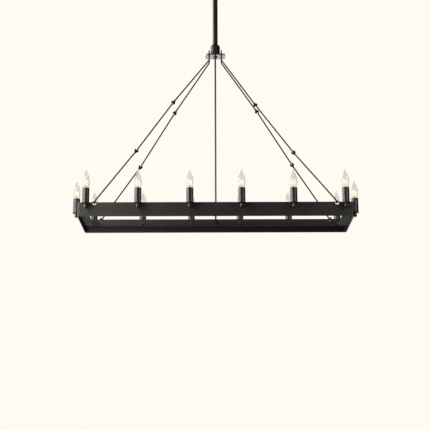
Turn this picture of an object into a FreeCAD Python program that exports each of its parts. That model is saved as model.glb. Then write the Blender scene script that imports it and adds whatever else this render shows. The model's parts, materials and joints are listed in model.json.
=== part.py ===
import FreeCAD, Part
import math
import os
from FreeCAD import Vector

# Linear island pendant, in millimetres.
# Origin: middle of the ceiling plane over the stem. +Z up, X along the frame, front at -Y.

# Frame of flat bar on edge
frame_length = 1219.0
frame_width = 305.0
band_height = 64.0
sheet = 3.0
corner_radius = 8.0
shelf_width = 41.5
shelf_rise = 22.0
band_drop = 1161.0

# Candle lights
candle_end_margin = 38.0
candles_per_side = 6
candle_offset = 24.0
disc_radius = 17.25
disc_height = 3.5
disc_drop = 10.5
disc_edge = 0.8
spigot_height = 3.0
sleeve_radius = 16.0
sleeve_wall = 1.4
sleeve_length = 64.3
ball_radius = 8.5
elbow_drop = 22.4
boss_radius = 6.0
neck_radius = 5.5
lamp_nipple_radius = 4.0
lamp_nipple_bore = 2.2
arm_insert = 10.0
arm_inside = 12.0
arm_nut_width = 13.0
arm_nut_height = 4.0
socket_radius = 10.5
socket_length = 30.0
base_showing = 1.0
socket_grip = 8.0
neck_grip = 4.0

# Bulb: a flame-tip lamp with a small screw base. Heights are above the sleeve's rim.
bulb_height = 89.7
bulb_neck_radius = 6.0
bulb_neck_drop = 24.0
bulb_mouth_radius = 13.7
bulb_belly_radius = 17.5
bulb_belly_height = 27.0
bulb_shoulder_radius = 14.6
bulb_shoulder_height = 49.0
bulb_throat_radius = 4.2
bulb_throat_height = 76.0
bulb_tip_radius = 0.8
glass_wall = 0.9
solid_tip = 12.0
base_radius = 5.95
base_length = 15.0
contact_radius = 3.0
contact_length = 1.5

# Suspension rods
rod_radius = 3.2
eye_radius = 6.75
kink_radius = 8.0
eye_open_angle = 40.0
rod_bend_radius = 14.0
knee_radius = 8.0
knee_rise = 4.0
hook_turn = 30.0
hook_sweep = 220.0
link_share_1 = 0.317
link_share_2 = 0.653

# Eyelets of the long rails, and where the rods' hooks hang in them
eyelet_end_margin = 74.0
eyelet_length = 16.0
eyelet_height = 11.0
eyelet_wall = 4.4
eyelet_rise = 3.3
snug_hole_slant = 4.5
snug_hole_play = 1.9
front_left_shift = 0.0
front_right_shift = 1.5
back_left_shift = 1.5
back_right_shift = 1.5
lip_gap = 1.0

# Slack of each chain of rods: how far its two joints stand out along the frame
# and hang below the straight line from the hub to the eyelet
front_left_out_1 = 3.4
front_left_drop_1 = -7.5
front_left_out_2 = -0.7
front_left_drop_2 = -2.0
front_right_out_1 = -6.2
front_right_drop_1 = 6.2
front_right_out_2 = -6.0
front_right_drop_2 = 8.5
back_left_out_1 = 1.4
back_left_drop_1 = 0.5
back_left_out_2 = -4.5
back_left_drop_2 = 10.5
back_right_out_1 = 5.3
back_right_drop_1 = -5.5
back_right_out_2 = 2.2
back_right_drop_2 = 1.5

# Hub
plate_length = 94.0
plate_width = 56.0
plate_thickness = 6.0
plate_corner = 12.0
hook_x = 28.5
hook_y = 18.0
hub_hole_radius = 4.0
hook_rise = 23.0
hook_bend_radius = 6.0
leg_drop = 23.0
coupler_radius = 22.2
coupler_height = 54.0
coupler_shoulder = 17.0
coupler_top_radius = 14.0
coupler_dome = 0.7
knob_radius = 9.0
knob_height = 5.5
hub_nipple_radius = 6.0
hub_nipple_rise = 13.0

# Tubes
stem_length = 305.0
stem_radius = 12.0
stem_wall = 2.0
stem_insert = 26.0
bushing_height = 14.0
down_tube_radius = 4.0
down_tube_wall = 0.8
down_insert = 12.0
cross_tube_radius = 3.75
cross_tube_wall = 0.8
cross_rise = 47.75
collar_radius = 6.5
collar_length = 8.0
outlet_radius = 2.0
outlet_inset = 20.0
tee_radius = 7.5
tee_below = 8.0
tee_above = 12.0

# Wiring
cable_radius = 2.4
lead_radius = 1.6
trunk_radius = 2.2
lead_bend = 6.0
cross_lead_radius = 1.2
cross_lead_bend = 3.0
tray_margin = 14.0

# Ceiling fixing
canopy_radius = 70.0
canopy_depth = 28.0
canopy_wall = 1.5
canopy_round = 18.0
canopy_lip = 5.0
bar_length = 106.0
bar_width = 18.0
bar_thickness = 2.5
slot_spacing = 88.9
slot_width = 4.6
slot_length = 11.0
ground_x = 24.0
ground_radius = 2.0
ground_head_radius = 4.0
ground_head_height = 2.6
ground_screw_length = 8.0
fix_nipple_radius = 4.75
fix_nipple_bore = 3.0
locknut_width = 15.0
locknut_height = 4.0
nipple_above = 6.0
housing_radius = 17.0
housing_crown = 11.0
swivel_ball_radius = 11.0
seat_wall = 1.9
seat_angle = 50.0
mouth_angle = 60.0
shank_radius = 5.0
shank_past_bushing = 8.0
shank_nut_width = 15.0
shank_nut_height = 5.0
stem_gap = 17.0

# Clearances
thread_fit = 0.05
running_fit = 0.08
bar_fit = 0.25
gap = 0.3
cavity_headroom = 0.7
cut_past = 1.0
face_tolerance = 0.01

# Levels worked out from the sizes above
band_top = -band_drop
band_bottom = band_top - band_height
shelf_bottom = band_bottom + shelf_rise
shelf_top = shelf_bottom + sheet
housing_top = -canopy_depth
seat_outer = swivel_ball_radius + gap / 2 + seat_wall
cavity_radius = seat_outer + gap
cavity_top = housing_top - housing_crown
swivel_z = cavity_top - seat_outer - cavity_headroom
stem_top = swivel_z - stem_gap
stem_bottom = stem_top - stem_length
coupler_top = stem_bottom + stem_insert
coupler_bottom = coupler_top - coupler_height
plate_top = coupler_bottom
plate_bottom = plate_top - plate_thickness
knob_bottom = plate_bottom - knob_height
disc_bottom = band_top - disc_drop
disc_top = disc_bottom + disc_height
sleeve_top = disc_top + sleeve_length
elbow_z = band_top - elbow_drop
bulb_seat = sleeve_top - bulb_neck_drop
socket_top = bulb_seat - base_showing
socket_bottom = socket_top - socket_length
socket_depth = base_length + contact_length - base_showing + gap
eyelet_lip = eyelet_wall - eyelet_rise
eyelet_top = band_top - eyelet_lip
snug_hole_length = 2 * rod_radius + snug_hole_slant
snug_hole_height = 2 * rod_radius + snug_hole_play
eyelet_x = frame_length / 2 - eyelet_end_margin
hub_nipple_bore = down_tube_radius + thread_fit
cross_z = band_bottom + cross_rise
tee_top = cross_z + tee_above
tube_foot = cross_z + cross_tube_radius + gap
outlet_y = frame_width / 2 - sheet - outlet_inset
inner_y = frame_width / 2 - sheet
inner_x = frame_length / 2 - sheet
candle_spacing = (frame_length - 2 * candle_end_margin) / (candles_per_side - 1)
slack = {
    "front_left": (front_left_out_1, front_left_drop_1, front_left_out_2, front_left_drop_2),
    "front_right": (front_right_out_1, front_right_drop_1, front_right_out_2, front_right_drop_2),
    "back_left": (back_left_out_1, back_left_drop_1, back_left_out_2, back_left_drop_2),
    "back_right": (back_right_out_1, back_right_drop_1, back_right_out_2, back_right_drop_2),
}
hook_shift = {
    "front_left": front_left_shift,
    "front_right": front_right_shift,
    "back_left": back_left_shift,
    "back_right": back_right_shift,
}

X_AXIS = Vector(1, 0, 0)
Y_AXIS = Vector(0, 1, 0)
Z_AXIS = Vector(0, 0, 1)


def save(shape, node):
    shape.exportStep("parts/%s.step" % node)


def cylinder(radius, start, end):
    axis = end - start
    return Part.makeCylinder(radius, axis.Length, start, axis)


def tube(radius, bore, start, end):
    return cylinder(radius, start, end).cut(cylinder(bore, start, end))


def upright(radius, low, high, x=0.0, y=0.0):
    return cylinder(radius, Vector(x, y, low), Vector(x, y, high))


def hexagon(width, start, direction, height, bore):
    corner = width / 2 / math.cos(math.pi / 6)
    points = []
    for i in range(7):
        angle = math.radians(60 * i)
        points.append(Vector(corner * math.cos(angle), corner * math.sin(angle), 0))
    prism = Part.Face(Part.makePolygon(points)).extrude(Vector(0, 0, height))
    hole = Part.makeCylinder(bore, height)
    nut = prism.cut(hole)
    nut.Placement = FreeCAD.Placement(start, FreeCAD.Rotation(Z_AXIS, direction))
    return nut


def rounded_rectangle(length, width, radius, low, high):
    block = Part.makeBox(length, width, high - low, Vector(-length / 2, -width / 2, low))
    upright_edges = [e for e in block.Edges if abs(e.tangentAt(e.FirstParameter).z) > 0.9]
    return block.makeFillet(radius, upright_edges)


def revolve(edges):
    face = Part.Face(Part.Wire(edges))
    return face.revolve(Vector(0, 0, 0), Z_AXIS, 360)


def line(a, b):
    return Part.LineSegment(a, b).toShape()


def arc(a, middle, b):
    return Part.Arc(a, middle, b).toShape()


def profile_point(radius, height):
    return Vector(radius, 0, height)


def reverse_edges(edges):
    # The same edges, listed from the far end back.
    return list(reversed(edges))


# Candle places: position of the axis and the way it stands off the frame

def candle_places():
    places = []
    half = (candles_per_side - 1) / 2
    for side, name in ((-1, "front"), (1, "back")):
        y = side * (frame_width / 2 + candle_offset)
        for i in range(candles_per_side):
            x = (i - half) * candle_spacing
            places.append(("%s_%d" % (name, i + 1), Vector(x, y, 0), Vector(0, side, 0)))
    for side, name in ((-1, "left"), (1, "right")):
        x = side * (frame_length / 2 + candle_offset)
        places.append((name, Vector(x, 0, 0), Vector(side, 0, 0)))
    return places


PLACES = candle_places()


# Frame rails

def frame_ring():
    outer = rounded_rectangle(frame_length, frame_width, corner_radius, band_bottom, band_top)
    inner_radius = corner_radius - sheet
    hollow = rounded_rectangle(2 * inner_x, 2 * inner_y, inner_radius, band_bottom, band_top)
    shelf = rounded_rectangle(2 * inner_x, 2 * inner_y, inner_radius, shelf_bottom, shelf_top)
    opening_x = inner_x - shelf_width
    opening_y = inner_y - shelf_width
    opening = Part.makeBox(2 * opening_x, 2 * opening_y, band_height,
                           Vector(-opening_x, -opening_y, band_bottom))
    solids = [shelf.cut(opening)]
    holes = []
    for side in (-1, 1):
        for end in (-1, 1):
            solids.append(stadium(end * eyelet_x, side * inner_y, side * sheet,
                                  eyelet_length + 2 * eyelet_wall,
                                  eyelet_height + 2 * eyelet_wall, eyelet_top + eyelet_wall))
            holes.append(eyelet_hole(side, end))
    ring = outer.cut(hollow).fuse(solids).removeSplitter()
    for name, place, outward in PLACES:
        centre = Vector(place.x, place.y, elbow_z)
        inner = centre - outward * (candle_offset + sheet + cut_past)
        holes.append(cylinder(lamp_nipple_radius + bar_fit, centre, inner))
    return ring.cut(Part.makeCompound(holes))


def eyelet_hole(side, end):
    # The front holes are open slots. The back ones fit closely round the rods' hooks.
    near, depth = side * (inner_y - cut_past), side * (sheet + 2 * cut_past)
    if side < 0:
        return stadium(end * eyelet_x, near, depth, eyelet_length, eyelet_height, eyelet_top)
    shift = hook_shift["back_left" if end < 0 else "back_right"]
    return stadium(end * (eyelet_x - shift), near, depth, snug_hole_length, snug_hole_height,
                   eyelet_top)


def stadium(x, y, depth, length, height, top):
    # A slot shape across the rail, by its length, height and top.
    radius = height / 2
    half = length / 2 - radius
    z = top - radius
    near = min(y, y + depth)
    middle = Part.makeBox(2 * half, abs(depth), height, Vector(x - half, near, z - radius))
    ends = [cylinder(radius, Vector(x + shift, y, z), Vector(x + shift, y + depth, z))
            for shift in (-half, half)]
    return middle.fuse(ends)


def mitre_wedge(side, along_x):
    # A trapezium that takes one rail out of the frame, with its ends cut at 45 degrees.
    half_x = frame_length / 2 + cut_past
    half_y = frame_width / 2 + cut_past
    reach = frame_width / 2 - cut_past
    if along_x:
        outline = [(-half_x, side * half_y), (half_x, side * half_y),
                   (half_x - reach, side * (half_y - reach)),
                   (-half_x + reach, side * (half_y - reach))]
    else:
        outline = [(side * half_x, -half_y), (side * half_x, half_y),
                   (side * (half_x - reach), half_y - reach),
                   (side * (half_x - reach), -half_y + reach)]
    points = [Vector(x, y, band_bottom - cut_past) for x, y in outline]
    points.append(points[0])
    height = band_height + eyelet_rise + 2 * cut_past
    return Part.Face(Part.makePolygon(points)).extrude(Vector(0, 0, height))


def make_rails():
    ring = frame_ring()
    for name, side, along_x in (("front_rail", -1, True), ("back_rail", 1, True),
                                ("left_rail", -1, False), ("right_rail", 1, False)):
        save(ring.common(mitre_wedge(side, along_x)), name)


# Candle lights, each piece made once for every place

def elbow(place, outward):
    centre = Vector(place.x, place.y, elbow_z)
    at_band = centre - outward * candle_offset
    ball = Part.makeSphere(ball_radius, centre)
    boss = cylinder(boss_radius, centre, at_band)
    neck = upright(neck_radius, elbow_z, disc_bottom, place.x, place.y)
    arm_bore = cylinder(lamp_nipple_radius + thread_fit, at_band + outward * arm_insert, at_band)
    neck_bore = upright(lamp_nipple_radius + thread_fit, disc_bottom - neck_grip, disc_bottom,
                        place.x, place.y)
    return ball.fuse([boss, neck]).cut([arm_bore, neck_bore])


def arm_nipple(place, outward):
    centre = Vector(place.x, place.y, elbow_z)
    at_band = centre - outward * candle_offset
    start = at_band + outward * (arm_insert - gap)
    end = at_band - outward * (sheet + arm_inside)
    return tube(lamp_nipple_radius, lamp_nipple_bore, start, end)


def arm_nut(place, outward):
    start = Vector(place.x, place.y, elbow_z) - outward * (candle_offset + sheet)
    return hexagon(arm_nut_width, start, outward * -1, arm_nut_height,
                   lamp_nipple_radius + thread_fit)


def base_disc(place, outward):
    plate = upright(disc_radius, disc_bottom, disc_top, place.x, place.y)
    plate = plate.makeChamfer(disc_edge, [e for e in plate.Edges
                                          if abs(e.BoundBox.ZMax - disc_bottom) < face_tolerance])
    spigot = upright(sleeve_radius - sleeve_wall - gap, disc_top, disc_top + spigot_height,
                     place.x, place.y)
    bore = upright(lamp_nipple_radius + thread_fit, disc_bottom, disc_top + spigot_height,
                   place.x, place.y)
    return plate.fuse(spigot).cut(bore)


def socket_nipple(place, outward):
    low = Vector(place.x, place.y, disc_bottom - neck_grip + gap)
    high = Vector(place.x, place.y, socket_bottom + socket_grip - gap)
    return tube(lamp_nipple_radius, lamp_nipple_bore, low, high)


def socket(place, outward):
    body = upright(socket_radius, socket_bottom, socket_top, place.x, place.y)
    well = upright(base_radius + gap, socket_top - socket_depth, socket_top, place.x, place.y)
    grip = upright(lamp_nipple_radius + thread_fit, socket_bottom, socket_bottom + socket_grip,
                   place.x, place.y)
    return body.cut([well, grip])


def sleeve(place, outward):
    low = Vector(place.x, place.y, disc_top)
    high = Vector(place.x, place.y, sleeve_top)
    return tube(sleeve_radius, sleeve_radius - sleeve_wall, low, high)


def make_candles():
    for node, maker in (("elbows", elbow), ("arm_nipples", arm_nipple), ("arm_nuts", arm_nut),
                        ("base_discs", base_disc), ("socket_nipples", socket_nipple),
                        ("sockets", socket), ("sleeves", sleeve)):
        solids = [maker(place, outward) for name, place, outward in PLACES]
        save(Part.makeCompound(solids), node)


# Bulb: a revolved flame shape, widest low down, drawn out to a thin tip

def flame_outline(wall, apex_height):
    # Outline of the glass, moved inwards by the wall, from the neck up to the tip.
    def at(radius, height):
        return profile_point(radius - wall, sleeve_top + height)

    neck = at(bulb_neck_radius, -bulb_neck_drop)
    mouth = at(bulb_mouth_radius, 0)
    belly = at(bulb_belly_radius, bulb_belly_height)
    shoulder = at(bulb_shoulder_radius, bulb_shoulder_height)
    throat = at(bulb_throat_radius, bulb_throat_height)
    tip = profile_point(bulb_tip_radius, sleeve_top + apex_height)
    apex = profile_point(0, sleeve_top + apex_height)
    edges = [line(neck, mouth), arc(mouth, belly, shoulder), line(shoulder, throat),
             line(throat, tip), line(tip, apex)]
    return neck, apex, edges


def bulb(place):
    neck, apex, outside = flame_outline(0.0, bulb_height)
    inner_neck, inner_apex, inside = flame_outline(glass_wall, bulb_height - solid_tip)
    glass = revolve(outside + [line(apex, inner_apex)] + reverse_edges(inside)
                    + [line(inner_neck, neck)])
    base = upright(base_radius, bulb_seat - base_length, bulb_seat)
    contact = upright(contact_radius, bulb_seat - base_length - contact_length,
                      bulb_seat - base_length)
    pair = Part.makeCompound([glass, base.fuse(contact)])
    pair.translate(place)
    return pair


def make_bulbs():
    for name, place, outward in PLACES:
        save(bulb(place), "bulb_" + name)


# Suspension rods: one wire each, bent to an eye at its ends

def eye_path(centre, towards, sideways):
    # Edges from the rod's axis to the open end of an eye centred on that axis.
    # The wire leaves the axis in a short kink and then goes round the eye.
    reach = math.sqrt(eye_radius ** 2 + 2 * eye_radius * kink_radius)

    def at(u, v):
        return centre + towards * u + sideways * v

    total = eye_radius + kink_radius
    join = (-reach * eye_radius / total, kink_radius * eye_radius / total)
    lean = (reach / total, -kink_radius / total - 1)
    size = math.hypot(lean[0], lean[1])
    kink = (-reach + kink_radius * lean[0] / size, kink_radius + kink_radius * lean[1] / size)
    first = math.atan2(kink_radius, -reach)
    last = -math.pi + math.radians(eye_open_angle)
    middle = (first + last) / 2
    start = at(-reach, 0)
    edges = [arc(start, at(*kink), at(*join)),
             arc(at(*join), at(eye_radius * math.cos(middle), eye_radius * math.sin(middle)),
                 at(eye_radius * math.cos(last), eye_radius * math.sin(last)))]
    return start, edges


def bend_path(corner, before, after, radius):
    # A tangent arc that rounds one corner of a path.
    turn = before.getAngle(after)
    back = radius * math.tan(turn / 2)
    start = corner - before * back
    end = corner + after * back
    inward = (after - before).normalize()
    middle = corner + inward * (radius / math.cos(turn / 2) - radius)
    return start, end, arc(start, middle, end)


def sweep(edges, start, direction, radius):
    circle = Part.Wire(Part.makeCircle(radius, start, direction))
    return Part.Wire(edges).makePipeShell([circle], True, False)


def sweep_wire(edges):
    # A round rod along edges that start at a bent tip: its first circle stands across that tip.
    wire = Part.Wire(edges)
    first_edge = wire.OrderedEdges[0]
    tip = wire.OrderedVertexes[0].Point
    direction = first_edge.tangentAt(first_edge.Curve.parameter(tip))
    return sweep(edges, tip, direction, rod_radius)


def unit(vector):
    result = Vector(vector)
    result.normalize()
    return result


def side_vectors(direction):
    # Sideways vectors of an eye seen edge on from the front, and of one seen face on.
    face_normal = unit(Y_AXIS - direction * Y_AXIS.dot(direction))
    return face_normal, unit(direction.cross(face_normal))


def suspension_points(end_side, depth_side, name):
    # The bend under the hub plate, the two joints and the foot of the hook in the eyelet.
    bend = Vector(end_side * hook_x, depth_side * hook_y, plate_bottom - leg_drop)
    seat = Vector(end_side * (eyelet_x - hook_shift[name]),
                  depth_side * (frame_width / 2 - sheet / 2),
                  eyelet_top - lip_gap - rod_radius)
    whole = seat - bend
    out_1, drop_1, out_2, drop_2 = slack[name]
    link_1 = bend + whole * link_share_1 + Vector(end_side * out_1, 0, -drop_1)
    link_2 = bend + whole * link_share_2 + Vector(end_side * out_2, 0, -drop_2)
    return bend, link_1, link_2, seat


def upper_rod(bend, link, depth_side):
    pitch = 2 * eye_radius - 2 * rod_radius - gap
    down = Vector(0, 0, -1)
    along = unit(link - bend)
    side, face = side_vectors(along)
    crest = plate_top + hook_rise - rod_radius - hook_bend_radius
    tip_y = bend.y - depth_side * 2 * hook_bend_radius
    tip = Vector(bend.x, tip_y, plate_top + gap)
    tip_high = Vector(bend.x, tip_y, crest)
    leg_high = Vector(bend.x, bend.y, crest)
    over = Vector(bend.x, (bend.y + tip_y) / 2, crest + hook_bend_radius)
    bend_start, bend_end, bend_arc = bend_path(bend, down, along, rod_bend_radius)
    eye_start, eye_edges = eye_path(link - along * (pitch / 2), along, side)
    edges = [line(tip, tip_high), arc(tip_high, over, leg_high), line(leg_high, bend_start),
             bend_arc, line(bend_end, eye_start)] + eye_edges
    return sweep(edges, tip, Z_AXIS, rod_radius)


def middle_rod(first, second):
    # A straight rod with an eye at each end, both seen face on from the front.
    pitch = 2 * eye_radius - 2 * rod_radius - gap
    along = unit(second - first)
    side, face = side_vectors(along)
    upper_start, upper_edges = eye_path(first + along * (pitch / 2), along * -1, face)
    lower_start, lower_edges = eye_path(second - along * (pitch / 2), along, face)
    return sweep_wire(reverse_edges(upper_edges) + [line(upper_start, lower_start)] + lower_edges)


def lower_rod(link, seat, end_side, depth_side):
    # A rod with an eye above, a knee over the rail and an open hook under the eyelet's lip.
    # The hook stands across the rail, turned so that the rod comes down on the outside.
    pitch = 2 * eye_radius - 2 * rod_radius - gap
    turn = math.radians(hook_turn)
    outward = Vector(-end_side * math.sin(turn), depth_side * math.cos(turn), 0)
    centre = seat + Z_AXIS * eye_radius

    def at(angle):
        return centre + outward * eye_radius * math.cos(angle) - Z_AXIS * eye_radius * math.sin(angle)

    sweep_angle = math.radians(hook_sweep)
    leg = at(0)
    knee = leg + Z_AXIS * knee_rise
    down = Vector(0, 0, -1)
    along = unit(knee - link)
    side, face = side_vectors(along)
    upper_start, upper_edges = eye_path(link + along * (pitch / 2), along * -1, side)
    bend_start, bend_end, bend_arc = bend_path(knee, along, down, knee_radius)
    return sweep_wire(reverse_edges(upper_edges)
                      + [line(upper_start, bend_start), bend_arc, line(bend_end, leg),
                         arc(leg, at(sweep_angle / 2), at(sweep_angle))])


def make_rods():
    for depth_side, depth_name in ((-1, "front"), (1, "back")):
        for end_side, end_name in ((-1, "left"), (1, "right")):
            name = depth_name + "_" + end_name
            bend, link_1, link_2, seat = suspension_points(end_side, depth_side, name)
            save(upper_rod(bend, link_1, depth_side), "upper_rod_" + name)
            save(middle_rod(link_1, link_2), "middle_rod_" + name)
            save(lower_rod(link_2, seat, end_side, depth_side), "lower_rod_" + name)


# Hub

def coupler():
    shoulder = coupler_top - coupler_shoulder
    run = coupler_radius - coupler_top_radius
    low_centre = profile_point(0, coupler_bottom)
    low_rim = profile_point(coupler_radius, coupler_bottom)
    high_rim = profile_point(coupler_radius, shoulder)
    dome = profile_point(coupler_top_radius + run * coupler_dome,
                         shoulder + coupler_shoulder * coupler_dome)
    top_rim = profile_point(coupler_top_radius, coupler_top)
    top_centre = profile_point(0, coupler_top)
    body = revolve([line(low_centre, low_rim), line(low_rim, high_rim),
                    arc(high_rim, dome, top_rim), line(top_rim, top_centre),
                    line(top_centre, low_centre)])
    stem_bore = upright(stem_radius + thread_fit, stem_bottom, coupler_top)
    nipple_bore = upright(hub_nipple_radius + thread_fit, coupler_bottom, stem_bottom)
    return body.cut([stem_bore, nipple_bore])


def hub_plate():
    plate = rounded_rectangle(plate_length, plate_width, plate_corner, plate_bottom, plate_top)
    holes = [upright(hub_nipple_radius + bar_fit, plate_bottom, plate_top)]
    for x in (-hook_x, hook_x):
        for y in (-hook_y, hook_y):
            holes.append(upright(hub_hole_radius, plate_bottom, plate_top, x, y))
    return plate.cut(holes)


def knob():
    body = upright(knob_radius, knob_bottom, plate_bottom)
    body = body.makeFillet(knob_height / 4, [e for e in body.Edges
                                             if abs(e.BoundBox.ZMax - knob_bottom) < face_tolerance])
    return body.cut(upright(hub_nipple_radius + thread_fit, knob_bottom, plate_bottom))


def make_hub():
    save(tube(stem_radius, stem_radius - stem_wall, Vector(0, 0, stem_bottom), Vector(0, 0, stem_top)),
         "stem_tube")
    save(coupler(), "stem_coupler")
    save(hub_plate(), "hub_plate")
    save(knob(), "hub_knob")
    save(tube(hub_nipple_radius, hub_nipple_bore, Vector(0, 0, knob_bottom + gap),
              Vector(0, 0, coupler_bottom + hub_nipple_rise)), "hub_nipple")
    bushing = tube(stem_radius - stem_wall - thread_fit, shank_radius + running_fit,
                   Vector(0, 0, stem_top - bushing_height), Vector(0, 0, stem_top))
    save(bushing, "stem_bushing")


# Tubes that carry the wiring from the hub to the trays

def make_tubes():
    save(tube(down_tube_radius, down_tube_radius - down_tube_wall, Vector(0, 0, tube_foot),
              Vector(0, 0, knob_bottom + down_insert)), "down_tube")
    end = inner_y - gap
    cross = tube(cross_tube_radius, cross_tube_radius - cross_tube_wall,
                 Vector(0, -end, cross_z), Vector(0, end, cross_z))
    outlets = [upright(outlet_radius, cross_z - cross_tube_radius, cross_z, 0, y)
               for y in (-outlet_y, outlet_y)]
    save(cross.cut(outlets), "cross_tube")
    block = upright(tee_radius, cross_z - tee_below, tee_top)
    cross_bore = cylinder(cross_tube_radius + thread_fit, Vector(0, -tee_radius, cross_z),
                          Vector(0, tee_radius, cross_z))
    down_bore = upright(down_tube_radius + thread_fit, cross_z, tee_top)
    save(block.cut([cross_bore, down_bore]), "tee_block")
    collars = []
    for side in (-1, 1):
        start = Vector(0, side * inner_y, cross_z)
        finish = Vector(0, side * (inner_y - collar_length), cross_z)
        collars.append(tube(collar_radius, cross_tube_radius + thread_fit, start, finish))
    save(Part.makeCompound(collars), "cross_tube_collars")


# Wiring

def make_wiring():
    cable_top = stem_top - bushing_height - shank_past_bushing - gap
    save(upright(cable_radius, tube_foot, cable_top), "supply_cable")
    cross_leads = []
    for side in (-1, 1):
        start = Vector(0, side * gap, cross_z)
        corner = Vector(0, side * outlet_y, cross_z)
        foot = Vector(0, side * outlet_y, shelf_top + gap)
        run = Vector(0, side, 0)
        bend_start, bend_end, bend_arc = bend_path(corner, run, Vector(0, 0, -1), cross_lead_bend)
        cross_leads.append(sweep([line(start, bend_start), bend_arc, line(bend_end, foot)], start,
                                 run, cross_lead_radius))
    save(Part.makeCompound(cross_leads), "cross_leads")
    trunk_z = shelf_top + trunk_radius + gap
    tray_y = inner_y - tray_margin
    tray_x = inner_x - tray_margin
    trunks = []
    for side in (-1, 1):
        y = side * tray_y
        corner = Vector(side * tray_x, y, trunk_z)
        run = Vector(side, 0, 0)
        turn = Vector(0, -side, 0)
        start = Vector(-side * (candles_per_side - 1) / 2 * candle_spacing, y, trunk_z)
        finish = Vector(side * tray_x, side * 2 * lead_radius, trunk_z)
        bend_start, bend_end, bend_arc = bend_path(corner, run, turn, tray_margin)
        trunks.append(sweep([line(start, bend_start), bend_arc, line(bend_end, finish)], start, run,
                            trunk_radius))
    save(Part.makeCompound(trunks), "trunk_leads")
    branches = []
    for name, place, outward in PLACES:
        nipple_end = Vector(place.x, place.y, elbow_z) - outward * (candle_offset + sheet + arm_inside)
        inward = outward * -1
        start = nipple_end - inward * (arm_inside - gap)
        corner = nipple_end + inward * (lead_bend + gap)
        foot = Vector(corner.x, corner.y, shelf_top + gap)
        bend_start, bend_end, bend_arc = bend_path(corner, inward, Vector(0, 0, -1), lead_bend)
        branches.append(sweep([line(start, bend_start), bend_arc, line(bend_end, foot)], start,
                              inward, lead_radius))
    save(Part.makeCompound(branches), "branch_leads")


# Ceiling fixing and swivel

def slot(x):
    half = (slot_length - slot_width) / 2
    box = Part.makeBox(2 * half, slot_width, bar_thickness,
                       Vector(x - half, -slot_width / 2, -bar_thickness))
    ends = [upright(slot_width / 2, -bar_thickness, 0, x + shift) for shift in (-half, half)]
    return box.fuse(ends)


def crossbar():
    bar = rounded_rectangle(bar_length, bar_width, bar_width / 3, -bar_thickness, 0)
    cuts = [slot(-slot_spacing / 2), slot(slot_spacing / 2),
            upright(fix_nipple_radius + bar_fit, -bar_thickness, 0),
            upright(ground_radius + thread_fit, -bar_thickness, 0, ground_x)]
    return bar.cut(cuts)


def canopy():
    # A spun dish: a flat floor, a round shoulder and a rolled lip against the ceiling.
    wall = canopy_wall
    floor = -canopy_depth
    outer_round = canopy_round
    side = canopy_radius - canopy_lip
    low = profile_point(fix_nipple_radius + bar_fit, floor)
    low_in = profile_point(fix_nipple_radius + bar_fit, floor + wall)
    bend_out = profile_point(side - outer_round, floor)
    turn = math.sin(math.pi / 4)
    mid_out = profile_point(side - outer_round + outer_round * turn,
                            floor + outer_round - outer_round * turn)
    up_out = profile_point(side, floor + outer_round)
    lip_low = profile_point(side, -wall)
    lip_out = profile_point(canopy_radius, -wall)
    lip_top = profile_point(canopy_radius, 0)
    lip_in = profile_point(side - wall, 0)
    up_in = profile_point(side - wall, floor + outer_round)
    inner_round = outer_round - wall
    mid_in = profile_point(side - outer_round + inner_round * turn,
                           floor + outer_round - inner_round * turn)
    bend_in = profile_point(side - outer_round, floor + wall)
    return revolve([line(low, bend_out), arc(bend_out, mid_out, up_out), line(up_out, lip_low),
                    line(lip_low, lip_out), line(lip_out, lip_top), line(lip_top, lip_in),
                    line(lip_in, up_in), arc(up_in, mid_in, bend_in), line(bend_in, low_in),
                    line(low_in, low)])


def housing():
    mouth = math.radians(mouth_angle)
    bottom = swivel_z - cavity_radius * math.cos(mouth)
    body = upright(housing_radius, bottom, housing_top)
    body = body.makeFillet(canopy_wall, [e for e in body.Edges
                                         if abs(e.BoundBox.ZMax - bottom) < face_tolerance])
    nipple_bore = upright(fix_nipple_radius + thread_fit, cavity_top, housing_top)
    cavity = upright(cavity_radius, swivel_z, cavity_top)
    ball_space = Part.makeSphere(cavity_radius, Vector(0, 0, swivel_z))
    return body.cut([nipple_bore, cavity, ball_space])


def seat_ring():
    # Part of a hollow ball: it spans from the seat angle to the widest circle.
    low = math.radians(seat_angle)
    mid = (low + math.pi / 2) / 2
    outer = seat_outer
    inner = seat_outer - seat_wall

    def at(radius, angle):
        return profile_point(radius * math.sin(angle), swivel_z - radius * math.cos(angle))

    quarter = math.pi / 2
    return revolve([arc(at(outer, low), at(outer, mid), at(outer, quarter)),
                    line(at(outer, quarter), at(inner, quarter)),
                    arc(at(inner, quarter), at(inner, mid), at(inner, low)),
                    line(at(inner, low), at(outer, low))])


def ball_and_shank():
    end = stem_top - bushing_height - shank_past_bushing
    ball = Part.makeSphere(swivel_ball_radius, Vector(0, 0, swivel_z))
    shank = upright(shank_radius, end, swivel_z)
    bore = upright(fix_nipple_bore, end, swivel_z + swivel_ball_radius)
    return ball.fuse(shank).cut(bore)


def make_ceiling():
    save(crossbar(), "crossbar")
    save(canopy(), "canopy")
    save(housing(), "swivel_housing")
    save(seat_ring(), "swivel_seat")
    save(ball_and_shank(), "swivel_ball")
    nut_top = stem_top - bushing_height - gap
    save(hexagon(shank_nut_width, Vector(0, 0, nut_top - shank_nut_height), Z_AXIS,
                 shank_nut_height, shank_radius + thread_fit), "shank_nut")
    save(tube(fix_nipple_radius, fix_nipple_bore, Vector(0, 0, cavity_top + gap),
              Vector(0, 0, nipple_above)), "mounting_nipple")
    nuts = [hexagon(locknut_width, Vector(0, 0, start), Z_AXIS, locknut_height,
                    fix_nipple_radius + thread_fit)
            for start in (0, -bar_thickness - locknut_height)]
    save(Part.makeCompound(nuts), "nipple_locknuts")
    head = upright(ground_head_radius, -bar_thickness - ground_head_height, -bar_thickness, ground_x)
    shank = upright(ground_radius, -bar_thickness, -bar_thickness + ground_screw_length, ground_x)
    save(head.fuse(shank), "ground_screw")


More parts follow.
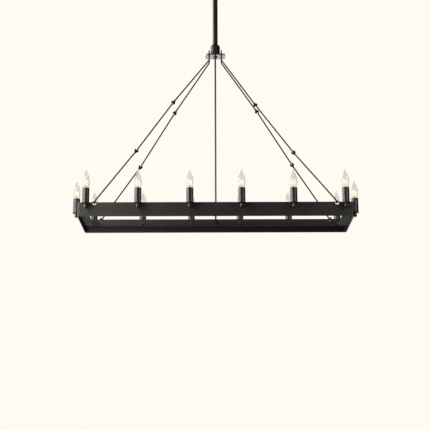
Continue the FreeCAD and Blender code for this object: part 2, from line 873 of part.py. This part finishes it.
os.makedirs("parts", exist_ok=True)
make_rails()
make_candles()
make_bulbs()
make_rods()
make_hub()
make_tubes()
make_wiring()
make_ceiling()
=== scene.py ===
import bpy
import json
import math
import numpy as np
from mathutils import Matrix, Vector


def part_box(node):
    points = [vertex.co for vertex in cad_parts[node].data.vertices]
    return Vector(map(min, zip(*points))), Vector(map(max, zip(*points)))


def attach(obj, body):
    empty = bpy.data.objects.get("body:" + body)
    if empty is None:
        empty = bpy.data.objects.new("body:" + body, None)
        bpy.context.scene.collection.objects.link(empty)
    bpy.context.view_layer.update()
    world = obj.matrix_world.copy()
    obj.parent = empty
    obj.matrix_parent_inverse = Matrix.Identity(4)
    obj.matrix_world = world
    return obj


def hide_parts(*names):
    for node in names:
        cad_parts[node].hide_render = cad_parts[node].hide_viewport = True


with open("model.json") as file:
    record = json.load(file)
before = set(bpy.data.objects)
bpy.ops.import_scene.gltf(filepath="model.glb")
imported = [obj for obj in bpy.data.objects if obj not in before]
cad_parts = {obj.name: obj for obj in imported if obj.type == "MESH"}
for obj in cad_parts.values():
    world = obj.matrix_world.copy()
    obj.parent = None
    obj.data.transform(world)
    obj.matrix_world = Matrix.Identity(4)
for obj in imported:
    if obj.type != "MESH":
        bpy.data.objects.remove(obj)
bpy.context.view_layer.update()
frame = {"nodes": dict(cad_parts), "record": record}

MM = 0.001


def low(node):
    """The low corner of a node's box, in metres."""
    return Vector(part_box(node)[0])


def high(node):
    """The high corner of a node's box, in metres."""
    return Vector(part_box(node)[1])


# Colours and node trees

def linear(hex_colour):
    """sRGB hex to linear colour with alpha 1."""
    values = [int(hex_colour[i:i + 2], 16) / 255 for i in (1, 3, 5)]
    return [v / 12.92 if v <= 0.04045 else ((v + 0.055) / 1.055) ** 2.4 for v in values] + [1.0]


def add(tree, kind, settings=(), inputs=(), links=()):
    """Adds one node: its settings, the values of its inputs and the sockets that feed it."""
    made = tree.nodes.new(kind)
    for name, value in dict(settings).items():
        setattr(made, name, value)
    for name, value in dict(inputs).items():
        made.inputs[name].default_value = value
    for name, socket in dict(links).items():
        tree.links.new(socket, made.inputs[name])
    return made


def blank_material(name):
    """A new material with an empty node tree."""
    material = bpy.data.materials.new(name)
    material.use_nodes = True
    material.node_tree.nodes.clear()
    return material, material.node_tree


def finish_material(tree, shader):
    """Joins the shader to the material's surface."""
    add(tree, "ShaderNodeOutputMaterial", links={"Surface": shader.outputs["BSDF"]})


def per_metre(size_mm):
    """Noise scale that gives features of a size in millimetres."""
    return 1 / (size_mm * MM)


def bronze_powder_coat(name, dark, pale, sheen, ior):
    """Powder-coated iron, sprayed dark bronze and baked: a faint orange peel and slow cloudy
    changes of brown."""
    material, tree = blank_material(name)
    place = add(tree, "ShaderNodeTexCoord").outputs["Object"]
    clouds = add(tree, "ShaderNodeTexNoise", inputs={"Scale": per_metre(38), "Detail": 3.0},
                 links={"Vector": place})
    colour = add(tree, "ShaderNodeMix", {"data_type": "RGBA"},
                 {"A": linear(dark), "B": linear(pale)}, {"Factor": clouds.outputs["Fac"]})
    # The peel of the coat is about 1 mm across; it is drawn at 2.5 mm to show.
    peel = add(tree, "ShaderNodeTexNoise", inputs={"Scale": per_metre(2.5), "Detail": 2.0},
               links={"Vector": place})
    relief = add(tree, "ShaderNodeBump", inputs={"Strength": 0.10, "Distance": 0.15 * MM},
                 links={"Height": peel.outputs["Fac"]})
    roughness = add(tree, "ShaderNodeMapRange", inputs={"To Min": sheen - 0.05, "To Max": sheen + 0.05},
                    links={"Value": clouds.outputs["Fac"]})
    coat = add(tree, "ShaderNodeBsdfPrincipled", inputs={"IOR": ior},
               links={"Base Color": colour.outputs["Result"], "Roughness": roughness.outputs["Result"],
                      "Normal": relief.outputs["Normal"]})
    finish_material(tree, coat)
    return material


def plain_metal(name, dark, pale, roughness, grain_mm):
    """Bare metal with fine grain: colour and gloss wander between two near values."""
    material, tree = blank_material(name)
    place = add(tree, "ShaderNodeTexCoord").outputs["Object"]
    grain = add(tree, "ShaderNodeTexNoise", inputs={"Scale": per_metre(grain_mm), "Detail": 4.0},
                links={"Vector": place})
    colour = add(tree, "ShaderNodeMix", {"data_type": "RGBA"},
                 {"A": linear(dark), "B": linear(pale)}, {"Factor": grain.outputs["Fac"]})
    gloss = add(tree, "ShaderNodeMapRange",
                inputs={"To Min": roughness - 0.06, "To Max": roughness + 0.06},
                links={"Value": grain.outputs["Fac"]})
    metal = add(tree, "ShaderNodeBsdfPrincipled", inputs={"Metallic": 1.0},
                links={"Base Color": colour.outputs["Result"], "Roughness": gloss.outputs["Result"]})
    finish_material(tree, metal)
    return material


def moulded(name, dark, pale, roughness, ior, grain_mm):
    """Moulded plastic or enamel: a faint mottle in colour and a fine satin grain."""
    material, tree = blank_material(name)
    place = add(tree, "ShaderNodeTexCoord").outputs["Object"]
    mottle = add(tree, "ShaderNodeTexNoise", inputs={"Scale": per_metre(grain_mm), "Detail": 3.0},
                 links={"Vector": place})
    colour = add(tree, "ShaderNodeMix", {"data_type": "RGBA"},
                 {"A": linear(dark), "B": linear(pale)}, {"Factor": mottle.outputs["Fac"]})
    relief = add(tree, "ShaderNodeBump", inputs={"Strength": 0.15, "Distance": 0.1 * MM},
                 links={"Height": mottle.outputs["Fac"]})
    body = add(tree, "ShaderNodeBsdfPrincipled", inputs={"Roughness": roughness, "IOR": ior},
               links={"Base Color": colour.outputs["Result"], "Normal": relief.outputs["Normal"]})
    finish_material(tree, body)
    return material


def clear_glass():
    """Blown soda-lime glass, clear: slow waves in its wall bend the edges of what shows through."""
    material, tree = blank_material("clear_blown_glass")
    place = add(tree, "ShaderNodeTexCoord").outputs["Object"]
    waves = add(tree, "ShaderNodeTexNoise", inputs={"Scale": per_metre(14), "Detail": 1.0},
                links={"Vector": place})
    relief = add(tree, "ShaderNodeBump", inputs={"Strength": 0.12, "Distance": 0.3 * MM},
                 links={"Height": waves.outputs["Fac"]})
    glass = add(tree, "ShaderNodeBsdfPrincipled",
                inputs={"Base Color": linear("#EFEFE9"), "Roughness": 0.0, "IOR": 1.5,
                        "Transmission Weight": 1.0},
                links={"Normal": relief.outputs["Normal"]})
    finish_material(tree, glass)
    return material


def glowing_tungsten():
    """Coiled tungsten wire, lit: warm, and brighter where the turns lie close."""
    material, tree = blank_material("glowing_tungsten_filament")
    place = add(tree, "ShaderNodeTexCoord").outputs["Object"]
    turns = add(tree, "ShaderNodeTexNoise", inputs={"Scale": per_metre(3), "Detail": 1.0},
                links={"Vector": place})
    colour = add(tree, "ShaderNodeMix", {"data_type": "RGBA"},
                 {"A": linear("#FFEFC0"), "B": linear("#FFF8DE")}, {"Factor": turns.outputs["Fac"]})
    wire = add(tree, "ShaderNodeBsdfPrincipled",
               inputs={"Base Color": linear("#8C8880"), "Metallic": 1.0, "Roughness": 0.4,
                       "Emission Strength": 2.2},
               links={"Emission Color": colour.outputs["Result"]})
    finish_material(tree, wire)
    return material


COAT = bronze_powder_coat("dark_bronze_powder_coat_satin", "#1E1C1A", "#262220", 0.33, 1.8)
# The flat bar of the rails keeps the grain of hot rolling under its coat, which dulls it.
RAIL_COAT = bronze_powder_coat("dark_bronze_powder_coat_on_rolled_bar", "#1B1918", "#23201E", 0.50, 1.7)
# The bent rods are sprayed thinner, over mill scale, and look more matt and darker.
ROD_COAT = bronze_powder_coat("dark_bronze_powder_coat_matt", "#161412", "#1D1A18", 0.55, 1.45)
# The hub plate shows pale from below. Its pale, mirroring metal colour is painted reflection: it stands
# in for the bright sweep that the plate's dark coat reflects there.
HUB_PAINTED_REFLECTION = plain_metal("hub_plate_pale_painted_reflection", "#B0B2B1", "#C0C2C0", 0.14, 5)
# Zinc plate on the crossbar, nuts and nipples is pale grey with a soft shine.
ZINC = plain_metal("zinc_plated_steel_brushed", "#8E8D88", "#B9B7B0", 0.36, 4)
# The swivel ball is turned and oiled, so it is darker, with a sharper shine.
TURNED = plain_metal("turned_steel_oiled", "#4E4C49", "#6A6763", 0.30, 3)
# The lamp bases are rolled from thin brass, warm yellow with bright lines along the thread.
BRASS = plain_metal("rolled_brass_lamp_base", "#B08D4C", "#D2B06B", 0.28, 5)
# The support wires are drawn nickel, grey and bright.
NICKEL_WIRE = plain_metal("nickel_support_wire", "#8A8780", "#B5B2AA", 0.30, 2)
# Nylon moulded without dye is milky and half matt.
NYLON = moulded("nylon_moulded_natural", "#CFCBBE", "#DAD7CB", 0.50, 1.53, 9)
# The sockets are black phenolic, dense and slightly shiny.
PHENOLIC = moulded("phenolic_moulded_black", "#1C1A18", "#272421", 0.45, 1.6, 6)
# Vinyl drawn over the wires is black and smooth.
VINYL = moulded("vinyl_cable_sheath_black", "#191817", "#242220", 0.42, 1.52, 7)
# The ground screw's green dye covers its steel like an enamel.
GREEN = moulded("green_dyed_steel_screw", "#1E6B3A", "#2C8049", 0.35, 1.5, 3)
GLASS = clear_glass()
GLOW = glowing_tungsten()

SLOT_FINISH = {
    "bronze_paint": COAT,
    "zinc_steel": ZINC,
    "turned_steel": TURNED,
    "nylon": NYLON,
    "phenolic": PHENOLIC,
    "cable_vinyl": VINYL,
    "ground_green": GREEN,
}


# Mesh pieces worked out on grids

# Radius of the ring that closes a turned piece on its axis, in metres
CLOSED = 0.00001


def surface(name, points, body, material):
    """A mesh from a grid of points, rows along the first index. Quads join neighbours, and the
    second index wraps round: rows r and r + 1, columns c and c + 1 modulo their number."""
    rows, columns = points.shape[:2]
    r, c = np.meshgrid(np.arange(rows - 1), np.arange(columns), indexing="ij")
    following = (c + 1) % columns
    quads = np.stack([r * columns + c, r * columns + following,
                      (r + 1) * columns + following, (r + 1) * columns + c], axis=-1)
    mesh = bpy.data.meshes.new(name)
    mesh.from_pydata(points.reshape(-1, 3).tolist(), [], quads.reshape(-1, 4).tolist())
    mesh.polygons.foreach_set("use_smooth", np.full(len(mesh.polygons), True))
    mesh.materials.append(material)
    mesh.validate()
    mesh.update()
    piece = bpy.data.objects.new(name, mesh)
    bpy.context.scene.collection.objects.link(piece)
    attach(piece, body)
    return piece


def turned(profile, centre, columns):
    """A profile of (radius, height) carried round a vertical axis:
    x = cx + r cos t, y = cy + r sin t, z = height."""
    profile = np.asarray(profile, float)
    angle = np.linspace(0, 2 * math.pi, columns, endpoint=False)
    radius, height = profile[:, :1], profile[:, 1:]
    x = centre[0] + radius * np.cos(angle)
    y = centre[1] + radius * np.sin(angle)
    z = height + 0 * angle
    return np.stack([x, y, z], axis=-1)


def smooth_profile(points, count):
    """A Catmull-Rom curve through (radius, height) points, evenly spaced in its parameter."""
    p = np.asarray(points, float)
    p = np.vstack([2 * p[0] - p[1], p, 2 * p[-1] - p[-2]])
    t = np.linspace(0, len(points) - 1, count)
    i = np.minimum(t.astype(int), len(points) - 2)
    f = (t - i)[:, None]
    a, b, c, d = p[i], p[i + 1], p[i + 2], p[i + 3]
    return 0.5 * (2 * b + (c - a) * f + (2 * a - 5 * b + 4 * c - d) * f ** 2
                  + (3 * b - a - 3 * c + d) * f ** 3)


def wire_along(path, radius, columns):
    """A round wire along a path of points: circles of the radius across the path's direction."""
    path = np.asarray(path, float)
    way = np.gradient(path, axis=0)
    way /= np.linalg.norm(way, axis=1, keepdims=True)
    helper = np.where(np.abs(way[:, 2:3]) > 0.9, [[1.0, 0, 0]], [[0, 0, 1.0]])
    side = np.cross(way, helper)
    side /= np.linalg.norm(side, axis=1, keepdims=True)
    other = np.cross(way, side)
    angle = np.linspace(0, 2 * math.pi, columns, endpoint=False)[None, :, None]
    ring = side[:, None, :] * np.cos(angle) + other[:, None, :] * np.sin(angle)
    body = path[:, None, :] + radius * ring
    first = np.repeat(path[:1, None, :], columns, axis=1)
    last = np.repeat(path[-1:, None, :], columns, axis=1)
    return np.concatenate([first, body, last])


# The lamp, in millimetres. Heights are above the lower end of its glass, and a section is a
# radius with its height.

GLASS_SECTIONS = [(6.0, 0.0), (9.0, 10.0), (13.2, 24.0), (15.8, 37.0), (16.6, 51.0), (15.7, 65.0),
                  (12.7, 77.0), (8.3, 89.0), (4.2, 100.0), (1.9, 108.5), (0.9, 112.0)]
GLASS_TIP = 113.7
GLASS_WALL = 0.6
# The hollow inside keeps to the outer curve up to its shoulder and then narrows to its tip.
HOLLOW_SHOULDER = 103.2
HOLLOW_TIP = 104.2
STEM_SECTIONS = [(0.01, 0.3), (4.6, 0.6), (3.0, 7.0), (2.2, 16.0), (2.0, 24.0), (1.2, 27.5),
                 (0.01, 28.5)]
BASE_FOOT = -16.5
CONTACT_SECTIONS = [(1.6, -16.4), (2.6, -15.9), (2.9, -15.1)]
THREAD_FOOT = -15.0
THREAD_LENGTH = 14.8
THREAD_RADIUS = 5.6
THREAD_DEPTH = 0.3
THREAD_PITCH = 2.6
# Shares of the base's length where the thread starts and ends, and how fast it grows there
THREAD_START = 0.12
THREAD_END = 0.86
THREAD_GROWTH = 14
BASE_FLOOR_RADIUS = 2.9
BASE_RIM_RADIUS = 5.2
BASE_RIM_RISE = 0.2
WIRE_RADIUS = 0.3
WIRE_FOOT = 26.0
WIRE_FOOT_SPREAD = 0.8
FILAMENT_FOOT = 38.0
FILAMENT_RISE = 20.0
FILAMENT_SPREAD = 4.2
FILAMENT_RADIUS = 0.28
COIL_RADIUS = 0.8
COIL_TURNS = 42


def blown_envelope(node, centre, seat):
    """Blown glass: the outer curve turned round the axis and back down inside, a wall thinner,
    under a solid tip."""
    outer = smooth_profile(GLASS_SECTIONS, count=72) * MM + [0, seat]
    outer = np.vstack([outer, [CLOSED, seat + GLASS_TIP * MM]])
    beside_hollow = outer[outer[:, 1] < seat + HOLLOW_SHOULDER * MM]
    inner = np.vstack([beside_hollow - [GLASS_WALL * MM, 0], [CLOSED, seat + HOLLOW_TIP * MM]])
    inner[:, 0] = np.maximum(inner[:, 0], CLOSED)
    shell = np.vstack([outer[::-1], inner])[::-1]
    points = turned(shell, centre, columns=56)
    return surface(node + "_envelope", points, node, GLASS)


def screw_base(node, centre, seat):
    """Rolled brass with a round thread: radius = mean + depth x sin(angle - 2 pi height / pitch),
    where the depth fades out towards both ends."""
    rows, columns = 90, 40
    height = np.linspace(0, 1, rows)[:, None]
    angle = np.linspace(0, 2 * math.pi, columns, endpoint=False)[None, :]
    z = seat + THREAD_FOOT * MM + height * THREAD_LENGTH * MM
    fade = np.clip(np.minimum(height - THREAD_START, THREAD_END - height) * THREAD_GROWTH, 0, 1)
    wave = np.sin(angle - 2 * math.pi * height * THREAD_LENGTH / THREAD_PITCH)
    radius = (THREAD_RADIUS + THREAD_DEPTH * fade * wave) * MM
    thread = np.stack([centre[0] + radius * np.cos(angle), centre[1] + radius * np.sin(angle),
                       z + 0 * angle], axis=-1)
    foot, rim = z[0, 0], z[-1, 0] + BASE_RIM_RISE * MM
    floor = turned([(CLOSED, foot), (BASE_FLOOR_RADIUS * MM, foot)], centre, columns)
    cover = turned([(BASE_RIM_RADIUS * MM, rim), (CLOSED, rim)], centre, columns)
    points = np.concatenate([floor, thread, cover])
    surface(node + "_screw_base", points, node, BRASS)


def contact(node, centre, seat):
    """The button under the base, a low dome of turned rings."""
    rings = np.array(CONTACT_SECTIONS) * MM + [0, seat]
    button = np.vstack([[CLOSED, seat + BASE_FOOT * MM], rings, [CLOSED, seat + THREAD_FOOT * MM]])
    points = turned(button, centre, columns=24)
    surface(node + "_contact", points, node, ZINC)


def glass_stem(node, centre, seat):
    """The glass stem inside the neck, which the support wires come out of."""
    profile = smooth_profile(STEM_SECTIONS, count=26) * MM + [0, seat]
    profile[:, 0] = np.maximum(profile[:, 0], CLOSED)
    points = turned(profile, centre, columns=24)
    surface(node + "_glass_stem", points, node, GLASS)


def support_wire(node, centre, seat, side, label):
    """One of the two wires from the stem's top to the filament's ends. On its way up, t from
    0 to 1, its distance from the axis grows with t to the power 1.6."""
    t = np.linspace(0, 1, 24)
    spread = side * (WIRE_FOOT_SPREAD + (FILAMENT_SPREAD - WIRE_FOOT_SPREAD) * t ** 1.6)
    height = WIRE_FOOT + (FILAMENT_FOOT - WIRE_FOOT) * t
    path = np.stack([centre[0] + spread * MM, centre[1] + 0 * t, seat + height * MM], axis=-1)
    points = wire_along(path, WIRE_RADIUS * MM, columns=8)
    surface(node + "_support_wire_" + label, points, node, NICKEL_WIRE)


def filament(node, centre, seat):
    """A fine coil carried up one leg, over and down the other: the arch is
    x = -spread cos(pi t), z = foot + rise sin(pi t)^0.9, and the coil goes round it."""
    t = np.linspace(0, 1, 420)
    arch = -FILAMENT_SPREAD * np.cos(math.pi * t)
    height = FILAMENT_FOOT + FILAMENT_RISE * np.sin(math.pi * t) ** 0.9
    coil = 2 * math.pi * COIL_TURNS * t
    path = np.stack([centre[0] + (arch + COIL_RADIUS * np.cos(coil)) * MM,
                     centre[1] + COIL_RADIUS * np.sin(coil) * MM, seat + height * MM], axis=-1)
    points = wire_along(path, FILAMENT_RADIUS * MM, columns=6)
    surface(node + "_filament", points, node, GLOW)


def lamp(node):
    """One flame-tip lamp in its CAD place. Its glass replaces the plain solid."""
    axis = (low(node) + high(node)) / 2
    centre = np.array([axis.x, axis.y])
    seat = low(node).z - BASE_FOOT * MM
    envelope = blown_envelope(node, centre, seat)
    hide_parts(node)
    screw_base(node, centre, seat)
    contact(node, centre, seat)
    glass_stem(node, centre, seat)
    support_wire(node, centre, seat, -1, "a")
    support_wire(node, centre, seat, 1, "b")
    filament(node, centre, seat)


for node in frame["nodes"]:
    if node.startswith("bulb_"):
        lamp(node)


# Finishes of the CAD pieces

def finish_of(node, slot):
    """The finish of a piece, by its slot, and for coated iron by which part it is: the rods and rails by
    how they were made, and the hub plate by a pale metal whose colour is painted reflection.
    """
    # The hub plate's pale metal colour is painted reflection.
    if node == "hub_plate":
        return HUB_PAINTED_REFLECTION
    if slot == "bronze_paint" and "_rod_" in node:
        return ROD_COAT
    if slot == "bronze_paint" and "_rail" in node:
        return RAIL_COAT
    return SLOT_FINISH.get(slot)


for entry in frame["record"]["subparts"]:
    piece_finish = finish_of(entry["node"], entry["material_slot"])
    if piece_finish:
        materials = frame["nodes"][entry["node"]].data.materials
        materials.clear()
        materials.append(piece_finish)


# Studio

BACKGROUND = linear("#FFFBF2")
STUDIO_WHITE = linear("#FFFAF2")
# Levels of light, where 1 is white
WINDOW_LEVEL = 2.9
ROOM_LEVEL = 0.05
FLOOR_GLOW = 0.65
# The floor's height and half its width, in metres
FLOOR_LEVEL = -2.6
FLOOR_HALF = 7.0
# Place and aim in metres, width and height in metres, power in watts
SOFTBOXES = {
    "left_softbox": ((-1.25, -0.9, -0.62), (-0.6, -0.15, -1.15), 0.8, 1.0, 12),
    "low_softbox": ((-1.02, -1.0, -1.75), (-0.5, 0.15, -1.2), 0.6, 0.6, 8),
    "right_softbox": ((1.25, -1.0, -0.75), (0.6, -0.15, -1.15), 0.8, 1.2, 4),
}
SOFTBOX_WHITE = linear("#FFFBF4")[:3]
# From the frame's middle, at its lower edge, in millimetres
CAMERA_PLACE = (-11.45, -4763.0, -1216.7)
CAMERA_LENS = 90.85
# Angles in radians: tilted up, turned to the right and leaning over to the right
CAMERA_PITCH = 0.2589
CAMERA_YAW = 0.0017
CAMERA_ROLL = 0.0031


def bright_patch(tree, edges):
    """Product of smooth steps: each edge has an angle, its start and end in degrees, and the
    level before and after it."""
    shape = None
    for angle, start, end, before, after in edges:
        step = add(tree, "ShaderNodeMapRange", {"interpolation_type": "SMOOTHSTEP"},
                   {"From Min": math.radians(start), "From Max": math.radians(end),
                    "To Min": before, "To Max": after}, {"Value": angle.outputs["Value"]})
        shape = step if shape is None else add(tree, "ShaderNodeMath", {"operation": "MULTIPLY"}, {},
                                               {0: shape.outputs[0], 1: step.outputs[0]})
    return shape.outputs[0]


def make_world():
    """Warm white behind the object, for the camera and for what shows through the glass. Gloss
    meets the same white in the sweep low behind the object. Elsewhere it meets a dim room with
    a wide bright window to the left."""
    world = bpy.data.worlds.new("studio")
    bpy.context.scene.world = world
    world.use_nodes = True
    tree = world.node_tree
    tree.nodes.clear()
    way = add(tree, "ShaderNodeTexCoord").outputs["Generated"]
    split = add(tree, "ShaderNodeSeparateXYZ", links={"Vector": way})
    # turn is 0 straight behind and -90 degrees to the left; rise is the angle above level.
    turn = add(tree, "ShaderNodeMath", {"operation": "ARCTAN2"}, {},
               {0: split.outputs["X"], 1: split.outputs["Y"]})
    away = add(tree, "ShaderNodeMath", {"operation": "ABSOLUTE"}, {}, {0: turn.outputs["Value"]})
    rise = add(tree, "ShaderNodeMath", {"operation": "ARCSINE"}, {}, {0: split.outputs["Z"]})
    window = bright_patch(tree, [(turn, -150, -75, 0.0, WINDOW_LEVEL), (turn, -45, -10, 1.0, 0.0),
                                 (rise, -60, -25, 0.25, 1.0), (rise, 22, 45, 1.0, 0.03)])
    sweep = bright_patch(tree, [(away, 9, 20, 1.0, 0.0), (rise, -23, -18, 1.0, 0.0),
                                (rise, -38, -29, 0.0, 1.0)])
    level = add(tree, "ShaderNodeMath", {"operation": "ADD"}, {1: ROOM_LEVEL}, {0: window})
    studio = add(tree, "ShaderNodeBackground", inputs={"Color": STUDIO_WHITE},
                 links={"Strength": level.outputs["Value"]})
    seen = add(tree, "ShaderNodeBackground", inputs={"Color": BACKGROUND, "Strength": 1.0})
    ray = add(tree, "ShaderNodeLightPath")
    gloss = add(tree, "ShaderNodeMath", {"operation": "MULTIPLY"}, {},
                {0: ray.outputs["Is Glossy Ray"], 1: sweep})
    direct = add(tree, "ShaderNodeMath", {"operation": "MAXIMUM"}, {},
                 {0: ray.outputs["Is Camera Ray"], 1: ray.outputs["Is Transmission Ray"]})
    shown = add(tree, "ShaderNodeMath", {"operation": "MAXIMUM"}, {},
                {0: direct.outputs["Value"], 1: gloss.outputs["Value"]})
    mix = add(tree, "ShaderNodeMixShader", links={0: shown.outputs["Value"],
                                                  1: studio.outputs["Background"],
                                                  2: seen.outputs["Background"]})
    add(tree, "ShaderNodeOutputWorld", links={"Surface": mix.outputs["Shader"]})


def softbox(name, place, target, width, height, power):
    """A soft white light that the camera doesn't see itself."""
    light = bpy.data.lights.new(name, "AREA")
    light.shape = "RECTANGLE"
    light.size = width
    light.size_y = height
    light.energy = power
    light.color = SOFTBOX_WHITE
    stand = bpy.data.objects.new(name, light)
    bpy.context.scene.collection.objects.link(stand)
    look = (Vector(target) - Vector(place)).to_track_quat("-Z", "Y")
    stand.matrix_world = Matrix.Translation(place) @ look.to_matrix().to_4x4()
    stand.visible_camera = False


def make_floor():
    """A pale studio floor, below the camera's view."""
    corners = [(x * FLOOR_HALF, y * FLOOR_HALF, FLOOR_LEVEL)
               for x, y in ((-1, -1), (1, -1), (1, 1), (-1, 1))]
    mesh = bpy.data.meshes.new("studio_floor")
    mesh.from_pydata(corners, [], [(0, 1, 2, 3)])
    material, tree = blank_material("studio_floor_matt_paint")
    place = add(tree, "ShaderNodeTexCoord").outputs["Object"]
    grain = add(tree, "ShaderNodeTexNoise", inputs={"Scale": per_metre(300)}, links={"Vector": place})
    colour = add(tree, "ShaderNodeMix", {"data_type": "RGBA"},
                 {"A": linear("#F2EFE9"), "B": linear("#F6F3ED")}, {"Factor": grain.outputs["Fac"]})
    # The camera sees the paint almost as pale as the background, with the shadow on it.
    ray = add(tree, "ShaderNodeLightPath")
    glow = add(tree, "ShaderNodeMath", {"operation": "MULTIPLY"}, {1: FLOOR_GLOW},
               {0: ray.outputs["Is Camera Ray"]})
    paint = add(tree, "ShaderNodeBsdfPrincipled",
                inputs={"Roughness": 0.9, "Emission Color": BACKGROUND},
                links={"Base Color": colour.outputs["Result"],
                       "Emission Strength": glow.outputs["Value"]})
    # Seen from underneath the floor is clear, so that a view from below shows the object.
    face = add(tree, "ShaderNodeNewGeometry")
    clear = add(tree, "ShaderNodeBsdfTransparent")
    mix = add(tree, "ShaderNodeMixShader", links={0: face.outputs["Backfacing"], 1: paint.outputs["BSDF"],
                                                  2: clear.outputs["BSDF"]})
    add(tree, "ShaderNodeOutputMaterial", links={"Surface": mix.outputs["Shader"]})
    mesh.materials.append(material)
    floor = bpy.data.objects.new("studio_floor", mesh)
    bpy.context.scene.collection.objects.link(floor)
    floor.visible_glossy = False


def make_camera():
    """The photograph's camera: under the frame and in front of it, looking up."""
    data = bpy.data.cameras.new("camera")
    data.sensor_width = 36.0
    data.lens = CAMERA_LENS
    data.clip_start = 0.05
    data.clip_end = 60.0
    camera = bpy.data.objects.new("camera", data)
    bpy.context.scene.collection.objects.link(camera)
    place = Vector(CAMERA_PLACE) * MM + Vector((0, 0, low("front_rail").z))
    turn = (Matrix.Rotation(-CAMERA_YAW, 4, "Z") @ Matrix.Rotation(math.pi / 2 + CAMERA_PITCH, 4, "X")
            @ Matrix.Rotation(-CAMERA_ROLL, 4, "Z"))
    camera.matrix_world = Matrix.Translation(place) @ turn
    bpy.context.scene.camera = camera


make_world()
make_floor()
make_camera()
for softbox_name, settings in SOFTBOXES.items():
    softbox(softbox_name, *settings)
bpy.context.scene.view_settings.view_transform = "Standard"
